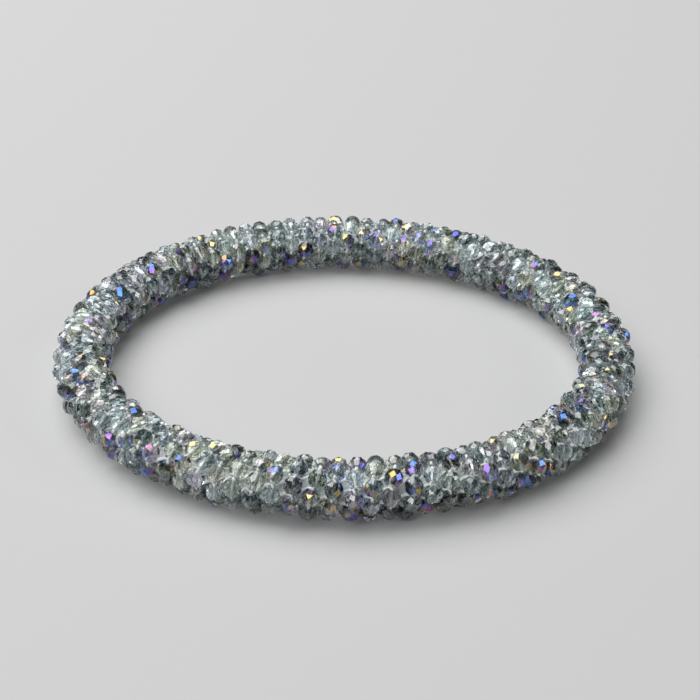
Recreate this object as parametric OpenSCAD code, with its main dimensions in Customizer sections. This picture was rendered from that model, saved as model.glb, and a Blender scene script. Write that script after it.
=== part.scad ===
// Roll-on bracelet: a closed rope of small faceted glass beads, crocheted round a cord of thread.
// The rope lies flat in the XY plane. The origin is on the surface under it, at the ring's centre.

/* [Ring] */
// Diameter of the opening that the hand goes through, between the tips of the beads
opening_d = 60.4; // [54:0.2:70]
// Thickness of the rope, over the tips of the beads
rope_d = 7.6; // [7:0.1:9]

/* [Beads] */
// Diameter of one bead, across its hole
bead_d = 2.3; // [2:0.05:2.6]
// How far the hollows between the beads lie under their tips
hollow_depth = 0.85; // [0.3:0.05:1]
// Size of a bead's flat outer facet, as a share of the bead's cell
facet_share = 0.56; // [0.3:0.02:0.8]
// Turns of the bead string round the rope, an even number so that the last bead meets the first
turns = 98; // [80:2:120]
// Beads in two turns: an odd number sets each turn half a bead over from the one before
beads_in_two_turns = 15; // [13:2:19]

/* [Thread] */
// Clearance between the thread cord and the beads round it
thread_gap = 0.05; // [0.02:0.01:0.1]

/* [Hidden] */

ring_r = (opening_d + rope_d) / 2;      // centre line of the rope
rope_r = rope_d / 2;
bore_r = rope_r - bead_d;               // the beads' inner edges lie this far from the rope's middle
hollow_r = rope_r - hollow_depth;

bead_count = turns * beads_in_two_turns / 2;
bead_step = 720 / beads_in_two_turns;   // turn about the rope from one bead to the next, in degrees
ring_step = 360 / bead_count;           // turn about the ring from one bead to the next, in degrees
row = floor(beads_in_two_turns / 2);    // the beads that touch bead k in the next turn are k + row and k + row + 1
first_bead = 270 % (bead_step / 2);     // with this start, every second turn sets a bead on the surface below

bead_colour = [0.72, 0.77, 0.79];
thread_colour = [0.86, 0.87, 0.86];

// A point on a tube of radius r round the ring's centre line, at angles about the ring and about the rope
function on_rope(ring_angle, rope_angle, r) = [
    (ring_r + r * cos(rope_angle)) * cos(ring_angle),
    (ring_r + r * cos(rope_angle)) * sin(ring_angle),
    rope_r + r * sin(rope_angle)
];

// Bead k's place on the string, as angles about the ring and about the rope
function bead_place(k) = [k * ring_step, first_bead + k * bead_step];

// Steps from one bead to its neighbours, as angles about the ring and about the rope
along_string = [ring_step, bead_step];
next_turn = [row * ring_step, row * bead_step - 360];
next_turn_over = along_string + next_turn;

// From a bead to the hollows among it and two of its neighbours
hollow_ahead = (next_turn + next_turn_over) / 3;
hollow_beside = (along_string + next_turn_over) / 3;

// The six hollows round a bead, in order. Each is the ahead or beside hollow of some bead on the string.
// Columns: offset of that bead, 0 for its ahead hollow or 1 for its beside hollow, step from the bead to the hollow
HOLLOWS = [
    [0, 0, hollow_ahead],
    [0, 1, hollow_beside],
    [-row, 0, hollow_ahead - next_turn],
    [-row - 1, 1, hollow_beside - next_turn_over],
    [-row - 1, 0, hollow_ahead - next_turn_over],
    [-1, 1, hollow_beside - along_string]
];
SIDES = len(HOLLOWS);

// Points are listed bead by bead: its ahead hollow, its beside hollow, then the corners of its outer facet
points_per_bead = 2 + SIDES;

function hollow_point(k, step) =
    let(place = bead_place(k) + step) on_rope(place[0], place[1], hollow_r);

function facet_point(k, side) =
    let(place = bead_place(k) + facet_share * HOLLOWS[side][2]) on_rope(place[0], place[1], rope_r);

function bead_points(k) = concat(
    [hollow_point(k, hollow_ahead), hollow_point(k, hollow_beside)],
    [for (side = [0:SIDES - 1]) facet_point(k, side)]
);

function corner(k, side) = k * points_per_bead + 2 + side % SIDES;

function hollow(k, side) =
    let(h = HOLLOWS[side % SIDES], owner = (k + h[0] + bead_count) % bead_count)
    owner * points_per_bead + h[1];

function bead_faces(k) = concat(
    [[for (side = [SIDES - 1:-1:0]) corner(k, side)]],
    [for (side = [0:SIDES - 1])
        [corner(k, side), corner(k, side + 1), hollow(k, side + 1), hollow(k, side)]]
);

// All the beads as one skin, each a six-sided stud with a flat outer facet
module bead_skin() {
    polyhedron(
        points = [for (k = [0:bead_count - 1]) each bead_points(k)],
        faces = [for (k = [0:bead_count - 1]) each bead_faces(k)],
        convexity = 6
    );
}

// A plain closed tube along the ring's centre line
module closed_cord(r) {
    translate([0, 0, rope_r])
        rotate_extrude($fn = 180)
            translate([ring_r, 0])
                circle(r = r, $fn = 48);
}

module bead_rope() {
    color(bead_colour)
        difference() {
            bead_skin();
            closed_cord(bore_r);
        }
}

module thread_cord() {
    color(thread_colour)
        closed_cord(bore_r - thread_gap);
}

bead_rope();
thread_cord();
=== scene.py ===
# %% [markdown]
# # A roll-on bracelet of faceted glass beads
#
# The bracelet is a closed rope. 735 small drilled beads of clear grey glass sit on one long crochet thread,
# 7.5 beads to a turn, and each turn is hooked to the turn before it, round a soft cord. A little over half of
# the beads have a rainbow coating, blown on from one side, so single facets flash violet, blue, magenta or
# gold while the rest stays clear.
#
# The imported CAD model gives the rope's size and place. Everything here is in metres, in that same frame.

# %% Load the frame
import math
import random

import bmesh
import bpy
from mathutils import Matrix, Quaternion, Vector


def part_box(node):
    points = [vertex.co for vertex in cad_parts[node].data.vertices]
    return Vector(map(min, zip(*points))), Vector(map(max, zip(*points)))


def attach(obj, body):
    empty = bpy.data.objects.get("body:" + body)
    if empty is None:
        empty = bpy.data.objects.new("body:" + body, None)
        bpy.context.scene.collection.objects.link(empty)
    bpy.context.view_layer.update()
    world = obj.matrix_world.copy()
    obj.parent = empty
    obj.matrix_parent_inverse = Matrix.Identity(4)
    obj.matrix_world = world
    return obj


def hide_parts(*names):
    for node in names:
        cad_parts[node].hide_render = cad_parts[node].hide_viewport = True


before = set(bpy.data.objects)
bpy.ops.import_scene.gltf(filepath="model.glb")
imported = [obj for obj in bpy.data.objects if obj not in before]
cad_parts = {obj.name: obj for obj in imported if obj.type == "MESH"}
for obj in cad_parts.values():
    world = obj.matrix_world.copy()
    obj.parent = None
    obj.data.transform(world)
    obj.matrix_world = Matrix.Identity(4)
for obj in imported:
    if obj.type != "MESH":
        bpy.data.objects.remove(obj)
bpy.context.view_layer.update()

# %% [markdown]
# ## The rope's measures
#
# The thread cord in the frame is a plain round ring, so its box gives the two sizes that place every bead:
# the radius of the ring's centre line, and the height of that line above the surface, which is also the
# rope's own radius over the tips of the beads.

# %% Read the rope's measures from the frame
MM = 0.001

cord_low, cord_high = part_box("thread_cord")
cord_r = (cord_high.z - cord_low.z) / 2
ring_r = (cord_high.x - cord_low.x) / 2 - cord_r
rope_r = (cord_high.z + cord_low.z) / 2

turns = 98
beads_in_two_turns = 15
bead_count = turns * beads_in_two_turns // 2
bead_step = 2 * math.tau / beads_in_two_turns
ring_step = math.tau / bead_count
first_bead = math.radians(6)

bead_d = 2.3 * MM
bead_length = 2.04 * MM
hole_d = 0.64 * MM
string_r = rope_r - bead_d / 2

print(f"ring {ring_r / MM:.2f} mm, rope {rope_r / MM:.2f} mm, beads on a radius of {string_r / MM:.2f} mm")

# %% [markdown]
# ## Finding a place on the rope
#
# All the pieces follow the same winding, so one function finds every place. `beads_along` counts beads along
# the string, `turns_over` steps sideways from the string towards the next turn, and `out` is the distance
# from the rope's centre line. A second function gives the directions there.

# %% Define places and directions on the rope
turn_beads = beads_in_two_turns / 2
nearby = 0.01


def on_rope(beads_along, turns_over=0.0, out=0.0):
    """A place on the rope, counted in beads along the string and in turns to the side of it."""
    ring_angle = (beads_along + turns_over * turn_beads) * ring_step
    rope_angle = first_bead + beads_along * bead_step
    reach = ring_r + out * math.cos(rope_angle)
    height = rope_r + out * math.sin(rope_angle)
    return Vector((reach * math.cos(ring_angle), reach * math.sin(ring_angle), height))


def directions(beads_along, out):
    """Directions at a place on the string: outwards, across the string, and along it."""
    along = (on_rope(beads_along + nearby, 0, out) - on_rope(beads_along - nearby, 0, out)).normalized()
    outwards = (on_rope(beads_along, 0, out) - on_rope(beads_along, 0, 0)).normalized()
    across = along.cross(outwards).normalized()
    return across.cross(along).normalized(), across, along


step_length = (on_rope(1, 0, string_r) - on_rope(0, 0, string_r)).length
print(f"a step from bead to bead along the string is {step_length / MM:.2f} mm")

# %% [markdown]
# ## One bead
#
# A cut bead of this size is pressed round and then ground on eight sides: a girdle of eight tall lozenges, a
# row of small triangles above and below them, then a row of eight sloping facets, and a flat table at each
# end where the hole comes out. Bevelling a cylinder gives rows of four-sided facets, but no lozenges. All
# the real facets are flat, though, so the whole cut is the tightest skin round five rings of eight corners.
#
# That is what `convex_hull` makes. The rings come from `create_circle`, and `dissolve_limit` takes out the
# edges that the hull leaves across flat facets. The hole is an inset in each table and a bridge between them.

# %% Cut one bead
SIDES = 8
half_side = math.pi / SIDES
girdle_r = bead_d / 2
shoulder_r = girdle_r * math.cos(half_side)
shoulder_z = 0.52 * MM
table_r = 0.66 * MM
table_z = bead_length / 2
flat = math.radians(1)


def cut_bead():
    """A drilled bead with its hole along Z, as a mesh."""
    bm = bmesh.new()
    rings = ((girdle_r, 0, 0), (shoulder_r, shoulder_z, half_side), (table_r, table_z, half_side))
    for radius, height, turned in rings:
        for side in (1, -1) if height else (1,):
            place = Matrix.Translation((0, 0, side * height)) @ Matrix.Rotation(turned, 4, "Z")
            bmesh.ops.create_circle(bm, segments=SIDES, radius=radius, matrix=place)
    bmesh.ops.convex_hull(bm, input=bm.verts)
    bmesh.ops.dissolve_limit(bm, angle_limit=flat, verts=bm.verts, edges=bm.edges)

    tables = [f for f in bm.faces if abs(f.normal.z) > math.cos(flat)]
    to_hole = (table_r - hole_d / 2) * math.cos(half_side)
    bmesh.ops.inset_individual(bm, faces=tables, thickness=to_hole)
    rims = [e for f in tables for e in f.edges]
    bmesh.ops.delete(bm, geom=tables, context="FACES_ONLY")
    bmesh.ops.bridge_loops(bm, edges=rims)
    bmesh.ops.recalc_face_normals(bm, faces=bm.faces)
    mesh = bpy.data.meshes.new("one_bead")
    bm.to_mesh(mesh)
    bm.free()
    return mesh


one_bead = cut_bead()
print("one bead:", len(one_bead.polygons), "faces, table", round(table_r / MM, 3), "mm")

# %% [markdown]
# ## Where each bead sits
#
# Beads on a soft thread never line up like balls in a bearing. A physics simulation could shake them into
# place, but a few rounds of a simple rule do it faster and the same every time. Each bead starts at its
# place in the winding and strays a little. Then beads that crowd each other push themselves apart, as they
# do when the rope is rolled between the hands.
#
# What keeps them in is the cord under them and the thread's pull, so a few stand a little proud and others
# sink, and the table keeps the lowest ones level.

# %% Let the beads settle
draw = random.Random(20)
sink_most = 0.32 * MM
rise_most = 0.15 * MM
stray_usual = 0.13 * MM
apart_least = 2.2 * MM
settling_rounds = 60
touching = (1, beads_in_two_turns // 2, beads_in_two_turns // 2 + 1)


def rope_middle(place):
    """The nearest point on the rope's centre line."""
    return Vector((place.x, place.y, 0)).normalized() * ring_r + Vector((0, 0, rope_r))


def strayed(k):
    """The first place of bead k, a little off its place in the winding."""
    outwards, across, along = directions(k, string_r)
    return (
        on_rope(k, 0, string_r)
        - outwards * draw.uniform(-rise_most, sink_most)
        + across * draw.gauss(0, stray_usual)
        + along * draw.gauss(0, stray_usual)
    )


def push_apart(centres):
    """Moves beads that crowd each other apart."""
    for k in range(bead_count):
        for step in touching:
            other = (k + step) % bead_count
            between = centres[other] - centres[k]
            push = (apart_least - between.length) / 2
            if push > 0:
                centres[k] -= between.normalized() * push
                centres[other] += between.normalized() * push


def hold_in(centres):
    """Keeps each bead between the cord and the thread's pull, and above the table."""
    for k, centre in enumerate(centres):
        middle = rope_middle(centre)
        out = centre - middle
        reach = max(string_r - sink_most, min(string_r + rise_most, out.length))
        centres[k] = middle + out.normalized() * reach
        centres[k].z = max(centres[k].z, girdle_r)


centres = [strayed(k) for k in range(bead_count)]
for _ in range(settling_rounds):
    push_apart(centres)
    hold_in(centres)
spacings = [(centres[(k + s) % bead_count] - centres[k]).length for k in range(bead_count) for s in touching]
print(f"beads lie {min(spacings) / MM:.2f} to {max(spacings) / MM:.2f} mm apart")

# %% [markdown]
# ## How each bead is turned
#
# The thread pulls each bead's hole into line with its two neighbours on the string. Within that, a bead spins
# freely about its hole and leans a little, less so on the inner side of the ring, where the turns are
# crowded. An array along a curve would turn them all alike, so each bead gets a matrix of its own. Cut beads
# also differ a little in size.

# %% Turn each bead
lean_most = math.radians(18)
lean_usual = math.radians(8)
room_usual, room_change = 0.75, 0.25
smallest = 0.97


def lean(room):
    """How far a bead leans one way, with this much room round it."""
    return max(-lean_most, min(lean_most, draw.gauss(0, lean_usual))) * room


def bead_matrix(k):
    """The place and turn of bead k, as a matrix."""
    along = (centres[(k + 1) % bead_count] - centres[k - 1]).normalized()
    outwards = (centres[k] - rope_middle(centres[k])).normalized()
    across = along.cross(outwards).normalized()
    outwards = across.cross(along)
    outer_side = math.cos(first_bead + k * bead_step)
    room = room_usual + room_change * outer_side
    string_turn = Matrix((outwards, across, along)).transposed().to_4x4()
    leaning = Matrix.Rotation(lean(room), 4, "X") @ Matrix.Rotation(lean(room), 4, "Y")
    return Matrix.Translation(centres[k]) @ string_turn @ leaning


def spin_and_size():
    """A bead's turn about its own hole, and its size, as a matrix."""
    spin = Matrix.Rotation(draw.uniform(0, math.tau), 4, "Z")
    return spin @ Matrix.Scale(draw.uniform(smallest, 1), 4)


places = [bead_matrix(k) for k in range(bead_count)]
spins = [spin_and_size() for _ in places]
print(len(places), "beads turned, leaning by at most", round(math.degrees(lean_most)), "degrees each way")

# %% [markdown]
# ## The coating's thickness on each facet
#
# The rainbow coating is a film of metal oxide, blown on from one side while the beads lie loose in a tray. A
# facet that faced the jet carries the thickest film, a facet that was turned away carries less, and the far
# side none. The film's thickness sets its colour: pale yellow where it is thinnest, then gold, orange,
# magenta, violet and blue. Noise over the whole bead could vary the colour too, but a real facet flashes in
# one colour and its neighbour in another. So each bead gets a jet direction of its own, and each facet a
# film that follows from its slope to the jet.
#
# The flat ends rub against the next beads on the string, which wears their film off.

# %% Work out the film on each facet
coated_share = 0.55
film_edge = 0.15
film_least = 0.45


def is_ground(facet):
    """Whether a facet is part of the hole's wall or of a flat end."""
    return facet.center.xy.length < hole_d / 2 or abs(facet.normal.z) > math.cos(flat)


def facet_films(mesh, jet, thickness):
    """The film on each facet of a bead, from 0 for bare glass to 1 for the thickest."""
    films = []
    for facet in mesh.polygons:
        facing = facet.normal.dot(jet)
        bare = is_ground(facet) or facing < film_edge
        films.append(0.0 if bare else thickness * (facing - film_edge) / (1 - film_edge))
    return films


def random_direction():
    """A direction drawn evenly from all round."""
    height, angle = draw.uniform(-1, 1), draw.uniform(0, math.tau)
    level = math.sqrt(1 - height * height)
    return Vector((level * math.cos(angle), level * math.sin(angle), height))


bare_members, coated_members = [], []
for place, spin in zip(places, spins):
    is_coated = draw.random() < coated_share
    jet, thickness = random_direction(), draw.uniform(film_least, 1)
    films = facet_films(one_bead, jet, thickness if is_coated else 0.0)
    (coated_members if is_coated else bare_members).append((place @ spin, films))
print(len(bare_members), "bare beads and", len(coated_members), "coated beads")

# %% [markdown]
# ## Joining the beads
#
# 735 separate objects would be slow to handle, so the beads are joined into two: those that show bare glass
# and those that show their coating. `from_mesh` adds a copy of the bead at each place. The wall of the hole
# and the flat ends get a material slot of their own, because drilling frosts the one and rubbing dulls the
# others.
#
# The materials read four attributes. `film` is the coating on each facet. `cast` is one number for each
# bead, because no two are quite the same grey. The crown number grows from 0 on the belt where a bead touches
# the others, and where little light gets in, to 1 on its outer and inner tips, and sets the painted shade
# round the belt. `facet_place` is a place for each corner of a facet in a pattern of painted light and dark,
# turned and shifted afresh for each facet, so that the pattern breaks at every edge, as what shows through a
# cut bead does.

# %% Join the beads
pattern_reach = 10 * bead_d


def facet_places(mesh):
    """A place in the pattern for each corner of each facet."""
    found = []
    for facet in mesh.polygons:
        turn = random_direction().to_track_quat("Z", "Y")
        shift = random_direction() * pattern_reach
        for corner in facet.loop_indices:
            seat = one_bead.vertices[mesh.loops[corner].vertex_index % len(one_bead.vertices)].co
            found.extend(turn @ seat + shift)
    return found


def shade_crowns(mesh, members):
    """How far each corner lies from the belt where its bead touches the others, from 0 to 1, which sets the
    painted shade on that belt.
    """
    found = []
    corner_count = len(one_bead.vertices)
    for n, (matrix, _) in enumerate(members):
        middle = matrix.translation
        outwards = (middle - rope_middle(middle)).normalized()
        for vertex in mesh.vertices[n * corner_count:(n + 1) * corner_count]:
            found.append(abs((vertex.co - middle).dot(outwards)) / girdle_r)
    return found


def add_attribute(mesh, name, kind, domain, values):
    """Gives a mesh numbers that its materials can read, for each face, point or corner."""
    attribute = mesh.attributes.new(name, kind, domain)
    attribute.data.foreach_set("vector" if kind == "FLOAT_VECTOR" else "value", values)


def show(name, data):
    """Puts a mesh, curve, light or camera into the scene as an object at the origin."""
    shown = bpy.data.objects.new(name, data)
    bpy.context.scene.collection.objects.link(shown)
    return shown


def string_beads(name, members):
    """One object of many beads. Each member is a bead's matrix and the films on its facets."""
    bm = bmesh.new()
    films = []
    for matrix, bead_films in members:
        bead = one_bead.copy()
        bead.transform(matrix)
        bm.from_mesh(bead)
        bpy.data.meshes.remove(bead)
        films += bead_films
    mesh = bpy.data.meshes.new(name)
    bm.to_mesh(mesh)
    bm.free()
    casts = [draw.random() for _ in members]
    slots = [int(is_ground(facet)) for facet in one_bead.polygons]
    add_attribute(mesh, "film", "FLOAT", "FACE", films)
    add_attribute(mesh, "cast", "FLOAT", "FACE", [cast for cast in casts for _ in slots])
    # The painted shade round each bead's belt is read from this
    add_attribute(mesh, "crown", "FLOAT", "POINT", shade_crowns(mesh, members))
    add_attribute(mesh, "facet_place", "FLOAT_VECTOR", "CORNER", facet_places(mesh))
    mesh.polygons.foreach_set("material_index", slots * len(members))
    print(name, len(mesh.polygons), "faces")
    return show(name, mesh)


bare_beads = string_beads("grey_glass_beads", bare_members)
coated_beads = string_beads("rainbow_coated_beads", coated_members)

# %% [markdown]
# ## The thread
#
# One crochet thread runs through all the beads. Between one bead and the next it dives to the cord, hooks
# under the turn before and comes back, and the legs of each stitch fill the bottom of the hollows round the
# beads, where they show as pale patches. A curve with a round bevel makes the strand, because it keeps its
# width round tight bends, where a spun or extruded circle would pinch. It is turned into a mesh at the end,
# so that its shape is final.

# %% Lay the thread
thread_d = 0.42 * MM
steps_between_points = 2
strand_roundness = 1
mouth = 0.4 * bead_length

# Rows: beads along the string from the last bead's middle, turns to the side, distance from the centre line
stitch_path = (
    (0.48, -0.03, 0.98 * string_r),
    (0.50, -0.28, 0.80 * string_r),
    (0.26, -0.50, 0.66 * string_r),
    (0.04, -0.74, 0.76 * string_r),
    (-0.02, -1.0, 0.86 * string_r),
    (0.12, -0.76, 0.70 * string_r),
    (0.32, -0.50, 0.62 * string_r),
    (0.52, -0.05, 0.90 * string_r),
)


def lay_strand(name, points, width):
    """A closed round strand through the points, as a mesh object."""
    curve = bpy.data.curves.new(name, "CURVE")
    curve.dimensions = "3D"
    curve.bevel_depth = width / 2
    curve.bevel_resolution = strand_roundness
    curve.resolution_u = steps_between_points
    spline = curve.splines.new("NURBS")
    spline.points.add(len(points) - 1)
    for point, place in zip(spline.points, points):
        point.co = (*place, 1)
    spline.use_cyclic_u = True
    spline.order_u = 4
    line = show(name + "_line", curve)
    mesh = bpy.data.meshes.new_from_object(line.evaluated_get(bpy.context.evaluated_depsgraph_get()))
    mesh.name = name
    bpy.data.objects.remove(line)
    bpy.data.curves.remove(curve)
    for polygon in mesh.polygons:
        polygon.use_smooth = True
    print(name, len(mesh.polygons), "faces")
    return show(name, mesh)


def moved_gap(k):
    """How far the gap after bead k has moved from its place in the winding."""
    after = (k + 1) % bead_count
    return (centres[k] - on_rope(k, 0, string_r) + centres[after] - on_rope(after, 0, string_r)) / 2


def stitch(k):
    """The thread's way through bead k and its stitch before the next bead."""
    here, turn_before = moved_gap(k), moved_gap(k - beads_in_two_turns // 2 - 1)
    mouths = [places[k] @ Vector((0, 0, side * mouth)) for side in (-1, 1)]
    return mouths + [
        on_rope(k + along, over, out) + here * (1 + over) - turn_before * over
        for along, over, out in stitch_path
    ]


thread_points = [point for k in range(bead_count) for point in stitch(k)]
bead_thread = lay_strand("bead_thread", thread_points, thread_d)

# %% [markdown]
# ## The crocheted cord
#
# Under the beads, the stitches close up into a tube of thread. A bump in the cord's finish would be lighter,
# but the glass bends what lies under it into fine light streaks, and that takes real relief. So two zigzag
# strands, each over and under the other, give the tube its open weave.

# %% Work the stitches of the cord
net_reach = 0.46
net_d = 0.26 * MM
net_r = cord_r + 0.42 * net_d
net_lift = 0.3 * net_d


def net_strand(shift):
    """One zigzag strand round the cord, as points."""
    corners = []
    for k in range(bead_count):
        for quarter, over in enumerate((0, net_reach, 0, -net_reach)):
            lift = net_lift if quarter % 2 == 0 else -net_lift
            corners.append(on_rope(k + shift + quarter / 4, over, net_r + lift))
    return corners


cord_stitches = [lay_strand(f"cord_stitches_{n + 1}", net_strand(n / 2), net_d) for n in range(2)]

# %% [markdown]
# ## Writing materials
#
# Two small helpers keep the materials readable. `Wire` wraps a value in a material, so that sums and
# products of wires add the Math nodes by themselves. `Finish` holds one material and adds every other kind
# of node.

# %% Define the helpers for materials
class Wire:
    """A value in a material. Arithmetic on wires adds Math nodes."""

    def __init__(self, finish, socket):
        self.finish = finish
        self.socket = socket

    def maths(self, operation, first, second):
        return self.finish.wire("ShaderNodeMath", {"operation": operation}, {0: first, 1: second})

    def __add__(self, other):
        return self.maths("ADD", self, other)

    def __sub__(self, other):
        return self.maths("SUBTRACT", self, other)

    def __rsub__(self, other):
        return self.maths("SUBTRACT", other, self)

    def __mul__(self, other):
        return self.maths("MULTIPLY", self, other)

    def __gt__(self, other):
        return self.maths("GREATER_THAN", self, other)

    __radd__ = __add__
    __rmul__ = __mul__


class Finish:
    """One material. Its nodes are added by node(), and output() finishes it."""

    def __init__(self, name):
        self.material = bpy.data.materials.new(name)
        self.material.use_nodes = True
        self.tree = self.material.node_tree
        self.tree.nodes.clear()

    def node(self, kind, settings=None, sockets=None):
        """Adds a node of this kind. Settings are set first, then each socket's value or link."""
        node = self.tree.nodes.new(kind)
        for name, value in (settings or {}).items():
            if name == "stops":
                for position, _ in value[1:-1]:
                    node.color_ramp.elements.new(position)
                for element, (position, colour) in zip(node.color_ramp.elements, value):
                    element.position = position
                    element.color = (*colour, 1)
            else:
                setattr(node, name, value)
        for name, value in (sockets or {}).items():
            if isinstance(value, Wire):
                value = value.socket
            if isinstance(value, bpy.types.NodeSocket):
                self.tree.links.new(value, node.inputs[name])
            else:
                node.inputs[name].default_value = value
        return node

    def wire(self, kind, settings=None, sockets=None, output=0):
        """Adds a node and gives one of its outputs as a wire."""
        return Wire(self, self.node(kind, settings, sockets).outputs[output])

    def attribute(self, name, output="Fac"):
        """Reads an attribute of the mesh."""
        return self.wire("ShaderNodeAttribute", {"attribute_name": name}, output=output)

    def noise(self, per_metre, detail):
        """Soft noise over the whole piece, with this many waves to the metre."""
        where = self.wire("ShaderNodeTexCoord", output="Object")
        return self.wire("ShaderNodeTexNoise", None, {"Vector": where, "Scale": per_metre, "Detail": detail})

    def ramp(self, stops, value):
        """Turns a value into a colour."""
        return self.wire("ShaderNodeValToRGB", {"stops": stops}, {"Fac": value})

    def relief(self, strength, depth, height):
        """The surface's direction where it rises and falls with the height."""
        sockets = {"Strength": strength, "Distance": depth, "Height": height}
        return self.wire("ShaderNodeBump", None, sockets)

    def output(self, shader):
        """Finishes the material with a shader for its surface."""
        self.node("ShaderNodeOutputMaterial", None, {"Surface": shader.outputs[0]})
        print(self.material.name, len(self.tree.nodes), "nodes")
        return self.material


# %% [markdown]
# ## The glass
#
# The glass is clear with a breath of grey, and polished. A cut bead doesn't look clear, though: each facet
# shows slivers of light and dark from the facets behind it. The shader bends light through the real facets
# for this, and a cell pattern also paints the slivers' light and dark into the glass's tint, to sharpen
# them. It is Voronoi noise, because its cells have straight edges. Each bead's cast makes its slivers lighter
# or darker, and gives it a breath of lilac, blue, green or straw. Round its belt, where the neighbouring beads
# keep light out, the tint is darker, which is painted shade and tells one clear bead from the next.
#
# Blender treats glass as solid where it works out shadows, so the thread behind the beads would be black.
# Real glass lets light through. So Light Path tells when a shadow is being worked out, and the glass is then
# mostly see-through.

# %% Mix the bare glass
# Painted light and dark seen through the facets, from dark slate through grey to near white
PAINTED_SLIVER_COLOURS = [
    (0.2, (0.11, 0.145, 0.145)),
    (0.46, (0.6, 0.69, 0.68)),
    (0.74, (0.96, 0.99, 0.985)),
]
BARE_CASTS = [
    (0.0, (0.85, 0.84, 0.95)),
    (0.3, (0.84, 0.92, 0.97)),
    (0.7, (0.86, 0.94, 0.91)),
    (1.0, (0.94, 0.93, 0.78)),
]
slivers_per_metre = (900.0, 900.0, 2200.0)
middle_value = 0.5
cast_depth, cast_shuffle = 1.4, 7.3
# How much lighter the tips are painted, and the painted shade on the belt
crown_shade_depth, belt_shade_tone = 0.9, -0.4
ripples_per_metre, ripple_detail = 900.0, 2.0
ripple_strength, ripple_depth = 0.03, 0.1 * MM
light_through = 0.9
glass_ior, glass_roughness = 1.54, 0.01
polish, polish_ior, polish_roughness = 0.4, 2.2, 0.02


def painted_slivers(finish, casts):
    """The tint of the glass, with painted slivers of light and dark and painted shade round the belt. Each bead
    takes one of the casts.
    """
    place = finish.attribute("facet_place", "Vector")
    cast = finish.attribute("cast")
    crown = finish.attribute("crown")
    stretched = finish.wire("ShaderNodeVectorMath", {"operation": "MULTIPLY"}, {0: place, 1: slivers_per_metre})
    cells = finish.wire("ShaderNodeTexVoronoi", None, {"Vector": stretched, "Scale": 1.0}, output="Color")
    sliver = finish.wire("ShaderNodeSeparateColor", None, {"Color": cells})
    # Painted slivers of light and dark, each bead's random cast, and painted shade round the belt
    tone = sliver + (cast - middle_value) * cast_depth + crown * crown_shade_depth + belt_shade_tone
    shade = finish.ramp(PAINTED_SLIVER_COLOURS, tone)
    shuffled = finish.wire("ShaderNodeMath", {"operation": "FRACT"}, {0: cast * cast_shuffle})
    hue = finish.ramp(casts, shuffled)
    # A Mix node keeps its two colours in sockets 6 and 7, and gives the mixed colour in output 2
    multiply = {"data_type": "RGBA", "blend_type": "MULTIPLY"}
    return finish.wire("ShaderNodeMix", multiply, {0: 1.0, 6: shade, 7: hue}, 2)


def shadow_lets_light_through(finish):
    """The alpha of a glass whose shadows let light through."""
    in_shadow = finish.wire("ShaderNodeLightPath", output="Is Shadow Ray")
    return 1 - in_shadow * light_through


def glass_shader(finish, tint, gloss):
    """A clear, polished glass shader."""
    return finish.node("ShaderNodeBsdfPrincipled", None, {
        "Base Color": tint,
        "Roughness": glass_roughness,
        "IOR": glass_ior,
        "Transmission Weight": 1.0,
        "Coat Weight": gloss,
        "Coat IOR": polish_ior,
        "Coat Roughness": polish_roughness,
        "Alpha": shadow_lets_light_through(finish),
        "Normal": finish.relief(ripple_strength, ripple_depth, finish.noise(ripples_per_metre, ripple_detail)),
    })


clear_glass = Finish("clear_grey_glass")
glass = clear_glass.output(glass_shader(clear_glass, painted_slivers(clear_glass, BARE_CASTS), polish))

# %% [markdown]
# ## The coating
#
# The coating is a film thinner than light's own wavelength. Light that it mirrors comes back coloured, while
# most of the light still goes through. Blender's shader has a thin film setting of its own, but one setting
# would colour all the facets alike. Mixing a coloured mirror over the glass does it facet by facet, and the
# ramp turns the film's thickness into its colour. The film is never quite even, so a soft noise shifts the
# colour across a facet.
#
# Seen from inside the bead the film hardly shows, so the mirror is left out on a facet's back. The light
# that goes through it has lost what the film mirrors, though, so a coated bead's body is a browner, yellower
# or bluer grey than a bare one's, and it has casts of its own.

# %% Mix the coating
FILM_COLOURS = [
    (0.0, (0.5, 0.5, 0.3)),
    (0.12, (0.6, 0.44, 0.08)),
    (0.18, (0.55, 0.24, 0.06)),
    (0.22, (0.42, 0.1, 0.26)),
    (0.28, (0.24, 0.07, 0.46)),
    (0.38, (0.11, 0.075, 0.5)),
    (0.52, (0.03, 0.11, 0.51)),
    (1.0, (0.02, 0.22, 0.55)),
]
COATED_CASTS = [
    (0.0, (0.86, 0.74, 0.9)),
    (0.35, (0.91, 0.82, 0.77)),
    (0.65, (0.9, 0.89, 0.65)),
    (1.0, (0.73, 0.82, 0.96)),
]
film_strength, film_roughness = 0.52, 0.04
thinnest_film = 0.01
film_spread, film_detail = 0.3, 1.0

coated = Finish("rainbow_coated_glass")
film = coated.attribute("film")
unevenness = coated.noise(ripples_per_metre, film_detail)
inside = coated.wire("ShaderNodeNewGeometry", output="Backfacing")
covered = film > thinnest_film
mirror = coated.node("ShaderNodeBsdfPrincipled", None, {
    "Base Color": coated.ramp(FILM_COLOURS, film + (unevenness - middle_value) * film_spread),
    "Metallic": 1.0,
    "Roughness": film_roughness,
})
coating = coated.output(coated.node("ShaderNodeMixShader", None, {
    0: covered * (1 - inside) * film_strength,
    1: glass_shader(coated, painted_slivers(coated, COATED_CASTS), (1 - covered) * polish).outputs[0],
    2: mirror.outputs[0],
}))

# %% [markdown]
# ## The holes and the ends
#
# Drilling leaves the hole's wall gritty and grey, which blurs the thread that shows through it. The flat
# ends rub against the next beads on the string and turn just as dull, so one ground finish does for both.

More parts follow.
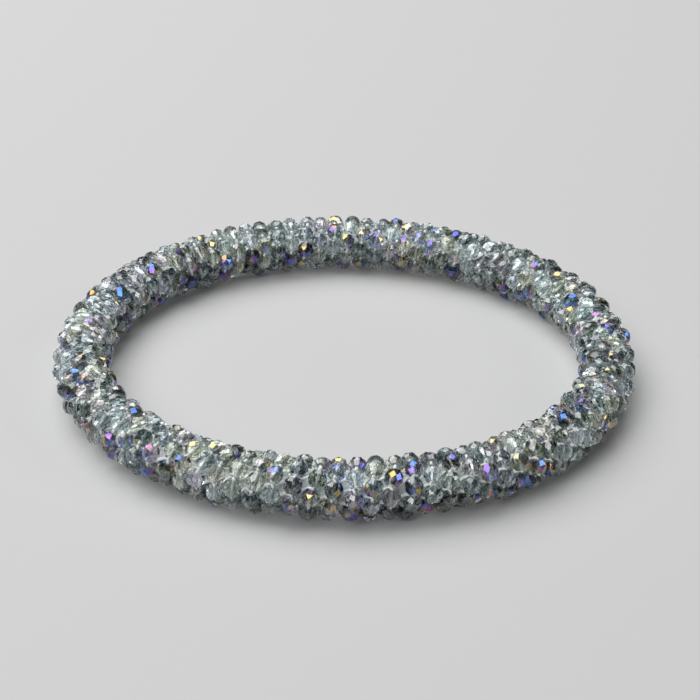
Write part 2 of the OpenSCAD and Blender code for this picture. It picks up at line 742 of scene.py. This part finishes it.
# %% Mix the ground glass
GROUND_GREY = (0.38, 0.41, 0.41, 1)
grit_per_metre, grit_detail = 6000.0, 3.0
grit_strength, grit_depth = 0.3, 0.03 * MM
grit_roughness, least_roughness = 0.3, 0.1

ground = Finish("ground_glass")
grit = ground.noise(grit_per_metre, grit_detail)
ground_glass = ground.output(ground.node("ShaderNodeBsdfPrincipled", None, {
    "Base Color": GROUND_GREY,
    "Roughness": grit * grit_roughness + least_roughness,
    "IOR": glass_ior,
    "Transmission Weight": 1.0,
    "Alpha": shadow_lets_light_through(ground),
    "Normal": ground.relief(grit_strength, grit_depth, grit),
}))

# %% [markdown]
# ## The thread's finish
#
# White polyester crochet thread is twisted from three plies. The strand's own UV map runs along it and round
# it, so a sine wave of both winds the plies round the strand. The plies' grooves get a little painted shade,
# and fine fibres show as noise. The cord inside is the same thread, seen only through the beads, and noise is
# enough for it; its low parts get painted shade in the same way.

# %% Mix the thread
# From painted shade in the grooves up to the thread's own white
THREAD_AND_GROOVE_SHADE_COLOURS = [
    (0.1, (0.66, 0.71, 0.7)),
    (0.4, (0.85, 0.9, 0.89)),
    (0.9, (0.93, 0.97, 0.96)),
]
PLIES = 3
twists_per_stitch, twists_per_net_stitch = 15, 6
ply_share, fibre_share = 0.7, 0.5
fibres_per_metre, fibre_detail = 5000.0, 3.0
wound_per_metre, wound_detail = 2500.0, 4.0
ply_depth, wound_depth = 0.1 * MM, 0.05 * MM
thread_relief, thread_roughness, thread_sheen = 0.7, 0.6, 0.3


def thread_shader(finish, height, depth):
    """A soft, slightly shiny thread whose relief follows the height, and whose tone does too, with painted
    shade in the low grooves.
    """
    return finish.output(finish.node("ShaderNodeBsdfPrincipled", None, {
        # The tone follows the height, so the low grooves get painted shade
        "Base Color": finish.ramp(THREAD_AND_GROOVE_SHADE_COLOURS, height),
        "Roughness": thread_roughness,
        "Sheen Weight": thread_sheen,
        "Normal": finish.relief(thread_relief, depth, height),
    }))


def twisted_thread(name, twists):
    """A thread of three plies, with this many twists in the whole strand."""
    finish = Finish(name)
    strand = finish.wire("ShaderNodeTexCoord", output="UV")
    parts = finish.node("ShaderNodeSeparateXYZ", None, {0: strand})
    along, around = (Wire(finish, part) for part in parts.outputs[:2])
    turn = (along * twists + around * PLIES) * math.tau
    wave = finish.wire("ShaderNodeMath", {"operation": "SINE"}, {0: turn})
    ply = wave * middle_value + middle_value
    fibres = finish.noise(fibres_per_metre, fibre_detail)
    return thread_shader(finish, ply * ply_share + fibres * fibre_share, ply_depth)


white_thread = twisted_thread("white_crochet_thread", bead_count * twists_per_stitch)
net_thread = twisted_thread("white_cord_stitches", bead_count * twists_per_net_stitch)
wound_thread = Finish("white_thread_cord")
white_cord = thread_shader(wound_thread, wound_thread.noise(wound_per_metre, wound_detail), wound_depth)

# %% [markdown]
# ## Putting the finishes on
#
# Each set of beads has two material slots, for its facets and for its holes and ends. The cord is a piece of
# the CAD model, so only its material slot changes.

# %% Put the finishes on
for piece, finish in ((bare_beads, glass), (coated_beads, coating)):
    piece.data.materials.append(finish)
    piece.data.materials.append(ground_glass)
bead_thread.data.materials.append(white_thread)
for piece in cord_stitches:
    piece.data.materials.append(net_thread)
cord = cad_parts["thread_cord"]
cord.data.materials.clear()
cord.data.materials.append(white_cord)
print("finishes:", [m.name for m in bpy.data.materials])

# %% [markdown]
# ## Joining the frame
#
# The beads and their stitches stand for the plain rope in the frame. The thread cord stays, with its new
# finish. The bracelet has one body, so every piece rides on that.

# %% Ride on the frame
beads, strands = (bare_beads, coated_beads), (bead_thread, *cord_stitches)
for piece in (*beads, *strands):
    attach(piece, "root")
    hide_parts("bead_rope")
print(len(beads) + len(strands), "pieces ride on the body root")

# %% [markdown]
# ## The studio
#
# A pale tabletop, a large soft light overhead and behind, and two smaller ones, from the front left and from
# the right, which the facets mirror. The room itself is dim, so that the glass has something dark to bend as
# well.

# %% Set the studio
TABLE_GREY = (0.6, 0.6, 0.6, 1)
ROOM_GREY = (0.5, 0.52, 0.54, 1)
table_reach, table_roughness = 3.0, 0.9
room_brightness = 0.04
look_at = Vector((0, 0, rope_r))

table_mesh = bpy.data.meshes.new("tabletop")
bm = bmesh.new()
bmesh.ops.create_grid(bm, x_segments=1, y_segments=1, size=table_reach)
bm.to_mesh(table_mesh)
bm.free()
paper = Finish("pale_tabletop")
table_sockets = {"Base Color": TABLE_GREY, "Roughness": table_roughness}
table_mesh.materials.append(paper.output(paper.node("ShaderNodeBsdfPrincipled", None, table_sockets)))
show("tabletop", table_mesh)

world = bpy.data.worlds.new("dim_room")
world.use_nodes = True
world.node_tree.nodes["Background"].inputs["Color"].default_value = ROOM_GREY
world.node_tree.nodes["Background"].inputs["Strength"].default_value = room_brightness
bpy.context.scene.view_settings.view_transform = "Standard"
bpy.context.scene.world = world


def soft_light(name, place, size, brightness):
    """A round softbox. A disk's power is its area times pi times the brightness that a mirror shows."""
    lamp = bpy.data.lights.new(name, "AREA")
    lamp.shape = "DISK"
    lamp.size = size
    lamp.energy = math.pi * (size / 2) ** 2 * math.pi * brightness
    light = show(name, lamp)
    light.location = place
    light.rotation_euler = (Vector(place) - look_at).to_track_quat("Z", "Y").to_euler()
    print(name, f"{lamp.energy:.2f} W")


soft_light("overhead_softbox", place=(-0.3, 0.35, 0.85), size=1.2, brightness=3.4)
soft_light("front_softbox", place=(-0.45, -0.55, 0.6), size=0.46, brightness=4.5)
soft_light("side_softbox", place=(0.8, -0.1, 0.45), size=0.25, brightness=5.0)

# %% [markdown]
# ## The camera
#
# The photograph was taken with a long lens, from 28 degrees above the table and 27 centimetres away. The
# ring's outline in it gives these numbers: how flat the ring looks gives the angle, and how much larger its
# near side looks gives the distance.

# %% Place the camera
elevation = math.radians(27.86)
camera_distance = 0.268
focal_pixels = 2054
picture_pixels = 700
picture_roll = math.radians(0.69)
aim_right, aim_up = 0.66 * MM, 0.225 * MM
sensor_width = 36
nearest, farthest = 0.01, 20

camera_data = bpy.data.cameras.new("camera")
camera_data.sensor_width = sensor_width
camera_data.lens = focal_pixels / picture_pixels * sensor_width
camera_data.clip_start = nearest
camera_data.clip_end = farthest
camera = show("camera", camera_data)
back = Vector((0, -math.cos(elevation), math.sin(elevation)))
up = Vector((0, math.sin(elevation), math.cos(elevation)))
aim = look_at + Vector((1, 0, 0)) * aim_right + up * aim_up
camera.location = aim + back * camera_distance
camera.rotation_mode = "QUATERNION"
camera.rotation_quaternion = Quaternion(back, picture_roll) @ back.to_track_quat("Z", "Y")
bpy.context.scene.camera = camera
print(f"lens {camera_data.lens:.1f} mm, camera at {[round(v, 3) for v in camera.location]}")
